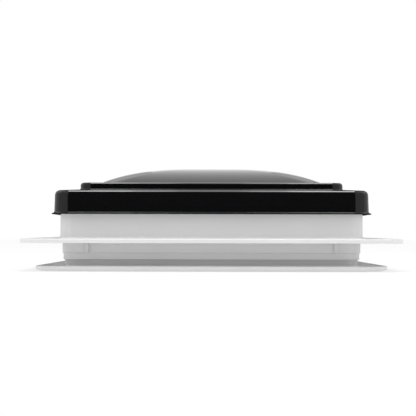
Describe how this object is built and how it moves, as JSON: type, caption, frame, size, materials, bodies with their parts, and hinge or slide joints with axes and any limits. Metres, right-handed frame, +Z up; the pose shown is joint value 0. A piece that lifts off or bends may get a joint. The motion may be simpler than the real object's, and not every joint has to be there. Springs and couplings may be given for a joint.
{
  "type": "roof vent",
  "caption": "Crank-up roof vent with a domed dark lid, square roof flange, telescoping ceiling trim ring, lift arms on a worm gear and a removable insect screen.",
  "frame": {"origin": "centre of the roof opening and of the roof screw pattern, on the underside of the roof flange", "axes": "+Z up out of the roof, -Y the side that opens, +Y the hinge side, +X to the right seen from the opening side"},
  "size_m": [0.436, 0.436, 0.1249],
  "materials": {
    "base_plastic": "satin white moulded ABS",
    "trim_plastic": "satin white moulded ABS",
    "screen_plastic": "satin white moulded plastic",
    "screen_mesh": "charcoal coated glass-fibre mesh",
    "seal_rubber": "soft black sponge rubber",
    "spline_rubber": "grey vinyl cord",
    "lid_smoke": "very dark smoke, high gloss",
    "gearbox_plastic": "light grey glass-filled nylon",
    "bridge_plastic": "white moulded ABS",
    "bush_nylon": "natural nylon",
    "wheel_acetal": "natural acetal",
    "knob_plastic": "satin white moulded plastic",
    "hinge_paint": "black powder coat",
    "zinc_steel": "zinc-plated pressed steel",
    "bright_steel": "ground bright steel",
    "screw_steel": "stainless steel",
    "spring_steel": "black oxide spring steel"
  },
  "bodies": {
    "base": {"base_frame": "base_plastic", "lid_seal": "seal_rubber", "trim_ring": "trim_plastic", "trim_screws": "screw_steel", "bridge": "bridge_plastic", "bridge_screws": "screw_steel", "gearbox_shell_left": "gearbox_plastic", "gearbox_shell_right": "gearbox_plastic", "gearbox_screws": "screw_steel", "worm_bush_upper": "bush_nylon", "worm_bush_lower": "bush_nylon", "bearing_bracket_left": "bridge_plastic", "bearing_bracket_right": "bridge_plastic", "bearing_screws": "screw_steel", "shaft_bush_left": "bush_nylon", "shaft_bush_right": "bush_nylon", "hinge_pin_left": "bright_steel", "hinge_pin_right": "bright_steel"},
    "lid": {"lid": "lid_smoke", "hinge_leaf_left": "hinge_paint", "hinge_leaf_right": "hinge_paint", "hinge_rivets": "bright_steel", "lift_bracket_left": "zinc_steel", "lift_bracket_right": "zinc_steel", "bracket_screws": "screw_steel"},
    "lift_shaft": {"cross_shaft": "bright_steel", "shaft_clips": "spring_steel", "worm_wheel": "wheel_acetal", "wheel_key": "bright_steel", "lift_arm_left": "zinc_steel", "lift_arm_right": "zinc_steel", "arm_set_screws": "spring_steel", "roller_pins": "bright_steel"},
    "roller_left": {"roller_left": "bush_nylon"},
    "roller_right": {"roller_right": "bush_nylon"},
    "crank": {"worm_shaft": "bright_steel", "worm_clip": "spring_steel", "crank_knob": "knob_plastic", "knob_screw": "screw_steel"},
    "screen": {"screen_frame": "screen_plastic", "insect_screen": "screen_mesh", "screen_spline": "spline_rubber"}
  },
  "joints": [
    {"name": "lid_hinge", "type": "hinge", "parent": "base", "child": "lid", "pos_m": [0, 0.19, 0.026], "axis": [-1, 0, 0], "range_deg": [0, 40]},
    {"name": "lift_shaft_turn", "type": "hinge", "parent": "base", "child": "lift_shaft", "pos_m": [0, 0.02525, 0.034], "axis": [-1, 0, 0], "range_deg": [0, 80]},
    {"name": "roller_left_spin", "type": "hinge", "parent": "lift_shaft", "child": "roller_left", "pos_m": [-0.14, -0.13886, 0.05061], "axis": [1, 0, 0], "continuous": true},
    {"name": "roller_right_spin", "type": "hinge", "parent": "lift_shaft", "child": "roller_right", "pos_m": [0.14, -0.13886, 0.05061], "axis": [1, 0, 0], "continuous": true},
    {"name": "crank_turn", "type": "hinge", "parent": "base", "child": "crank", "pos_m": [0, 0, 0], "axis": [0, 0, -1], "range_deg": [0, 2400]},
    {"name": "screen_drop", "type": "slide", "parent": "base", "child": "screen", "axis": [0, 0, -1], "range_m": [0, 0.06]}
  ],
  "couplings": [
    {"joint": "lift_shaft_turn", "follows": "lid_hinge", "ratio": 2},
    {"joint": "crank_turn", "follows": "lid_hinge", "ratio": 60}
  ]
}
